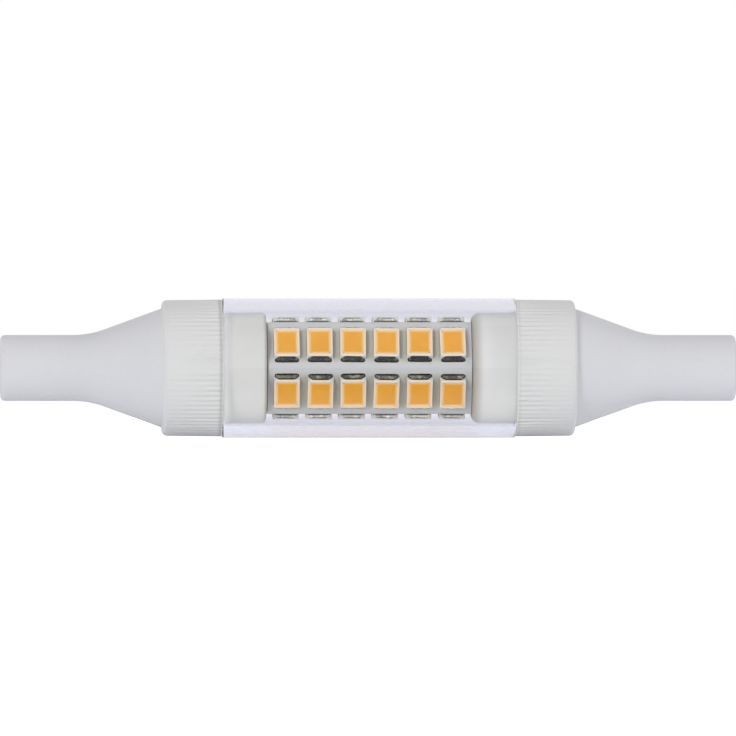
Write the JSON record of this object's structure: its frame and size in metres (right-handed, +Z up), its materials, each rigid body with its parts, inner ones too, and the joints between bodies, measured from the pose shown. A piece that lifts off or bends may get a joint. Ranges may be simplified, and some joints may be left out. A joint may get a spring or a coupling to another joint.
{
  "type": "linear led bulb",
  "caption": "Double-ended linear LED lamp: ribbed white ceramic caps with recessed contacts, a clear glass tube and a folded LED board with rows of chip LEDs inside.",
  "frame": {"origin": "centre of the lamp, on its axis, midway between the two contact ends", "axes": "+X along the lamp's axis to the right-hand end, -Y to the viewer of the picture, +Z up"},
  "size_m": [0.078, 0.0148, 0.0148],
  "materials": {
    "clear_glass": "polished",
    "white_ceramic": "satin",
    "contact_metal": "satin",
    "lead_wire": "satin",
    "white_board": "satin",
    "green_board": "satin",
    "chip_black": "matte",
    "capacitor_ceramic": "matte",
    "resistor_ceramic": "matte",
    "feed_pin": "satin",
    "led_package": "satin",
    "phosphor": "satin",
    "solder": "satin"
  },
  "bodies": {
    "root": {"glass_tube": "clear_glass", "left_cap": "white_ceramic", "right_cap": "white_ceramic", "left_contact": "contact_metal", "right_contact": "contact_metal", "left_lead": "lead_wire", "right_lead": "lead_wire", "led_board": "white_board", "driver_board": "green_board", "bridge_rectifier": "chip_black", "current_regulator": "chip_black", "smoothing_capacitor": "capacitor_ceramic", "sense_resistors": "resistor_ceramic", "fusible_resistor": "resistor_ceramic", "led_feed_positive": "feed_pin", "led_feed_negative": "feed_pin", "led_a1": "led_package", "led_a2": "led_package", "led_a3": "led_package", "led_a4": "led_package", "led_a5": "led_package", "led_a6": "led_package", "led_b1": "led_package", "led_b2": "led_package", "led_b3": "led_package", "led_b4": "led_package", "led_b5": "led_package", "led_b6": "led_package", "led_c1": "led_package", "led_c2": "led_package", "led_c3": "led_package", "led_c4": "led_package", "led_c5": "led_package", "led_c6": "led_package", "led_d1": "led_package", "led_d2": "led_package", "led_d3": "led_package", "led_d4": "led_package", "led_d5": "led_package", "led_d6": "led_package", "led_e1": "led_package", "led_e2": "led_package", "led_e3": "led_package", "led_e4": "led_package", "led_e5": "led_package", "led_e6": "led_package", "led_f1": "led_package", "led_f2": "led_package", "led_f3": "led_package", "led_f4": "led_package", "led_f5": "led_package", "led_f6": "led_package", "led_phosphor": "phosphor", "led_solder": "solder"}
  },
  "joints": []
}
